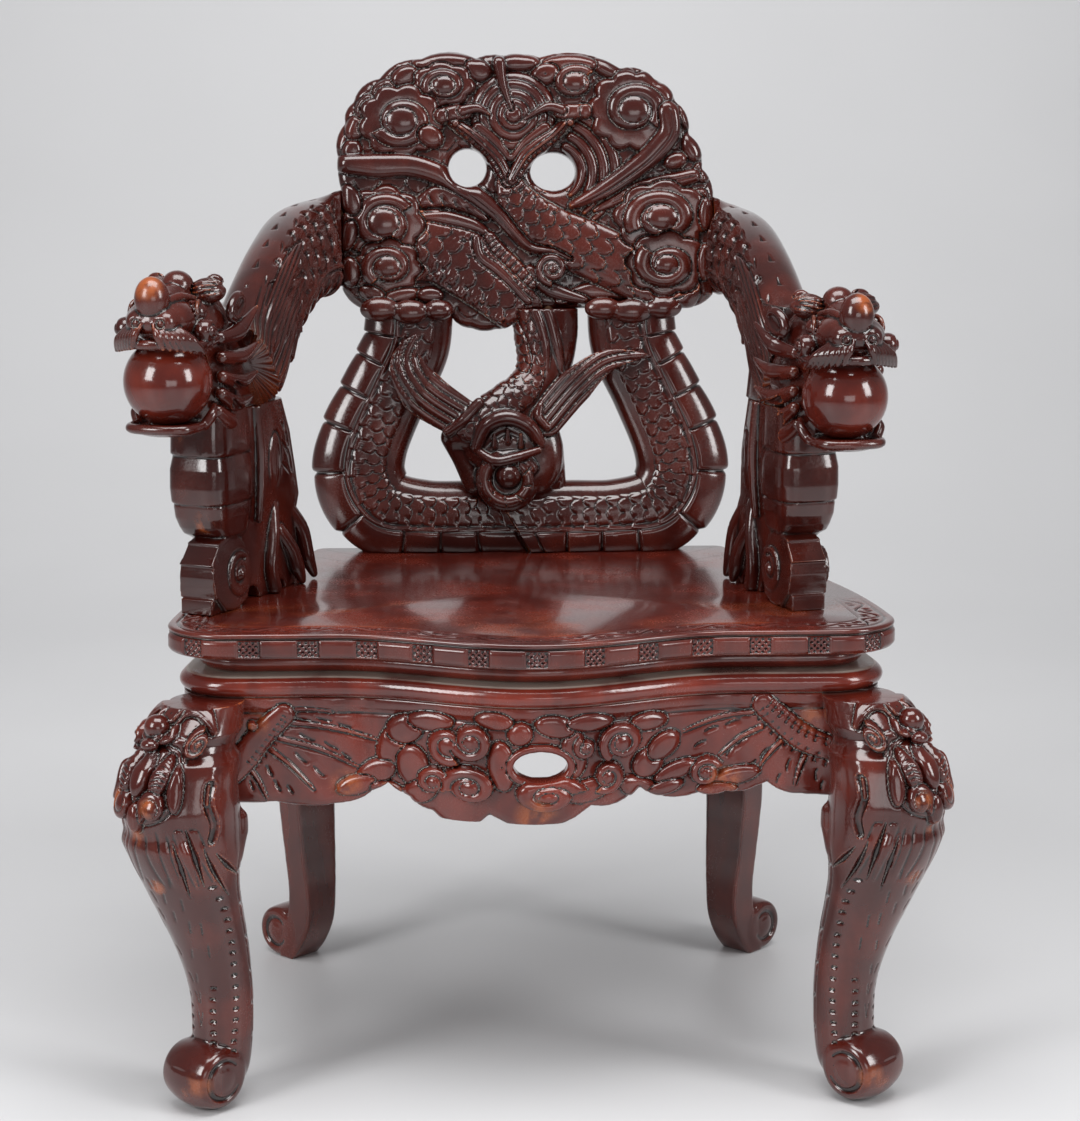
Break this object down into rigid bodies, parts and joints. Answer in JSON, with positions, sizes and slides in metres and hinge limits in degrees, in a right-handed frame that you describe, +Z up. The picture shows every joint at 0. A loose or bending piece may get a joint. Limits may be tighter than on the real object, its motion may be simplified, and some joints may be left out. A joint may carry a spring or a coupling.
{
  "type": "armchair",
  "caption": "Carved hardwood armchair with dragon arms holding loose pearls, a pierced cloud crest, a bowed seat and scroll feet.",
  "frame": {"origin": "on the floor under the middle of the chair's bounding box", "axes": "+Z up, -Y the way the chair faces, +X to the right of someone looking at its front"},
  "size_m": [0.781, 0.5545, 0.9865],
  "materials": {
    "lacquered_wood": "glossy dark red-brown lacquer, hand carved, worn at the edges",
    "pearl_wood": "polished red-brown lacquer",
    "hidden_wood": "bare sawn timber",
    "screw_steel": "dull steel"
  },
  "bodies": {
    "chair": {"arm_dowels": "hidden_wood", "back_apron": "lacquered_wood", "back_left_corner_block": "hidden_wood", "back_left_leg": "lacquered_wood", "back_lower_moulding": "lacquered_wood", "back_right_corner_block": "hidden_wood", "back_right_leg": "lacquered_wood", "back_upper_moulding": "lacquered_wood", "bearer_screws": "screw_steel", "body_dowel": "hidden_wood", "centre_carving": "lacquered_wood", "corner_block_screws": "screw_steel", "crest_dowels": "hidden_wood", "crest_rail": "lacquered_wood", "front_apron": "lacquered_wood", "front_left_corner_block": "hidden_wood", "front_left_leg": "lacquered_wood", "front_lower_moulding": "lacquered_wood", "front_right_corner_block": "hidden_wood", "front_right_leg": "lacquered_wood", "front_upper_moulding": "lacquered_wood", "head_dowels": "hidden_wood", "left_apron": "lacquered_wood", "left_arm": "lacquered_wood", "left_arm_support": "lacquered_wood", "left_back_body": "lacquered_wood", "left_dragon_head": "lacquered_wood", "left_lower_moulding": "lacquered_wood", "left_seat_bearer": "hidden_wood", "left_upper_moulding": "lacquered_wood", "right_apron": "lacquered_wood", "right_arm": "lacquered_wood", "right_arm_support": "lacquered_wood", "right_back_body": "lacquered_wood", "right_dragon_head": "lacquered_wood", "right_lower_moulding": "lacquered_wood", "right_seat_bearer": "hidden_wood", "right_upper_moulding": "lacquered_wood", "seat_board": "lacquered_wood", "support_dowels": "hidden_wood"},
    "left_pearl": {"left_pearl": "pearl_wood"},
    "right_pearl": {"right_pearl": "pearl_wood"}
  },
  "joints": [
    {"name": "left_pearl_turn", "type": "hinge", "parent": "chair", "child": "left_pearl", "pos_m": [-0.337, -0.17, 0.692], "axis": [0, 0, 1], "continuous": true},
    {"name": "right_pearl_turn", "type": "hinge", "parent": "chair", "child": "right_pearl", "pos_m": [0.29, -0.17, 0.675], "axis": [0, 0, 1], "continuous": true}
  ]
}
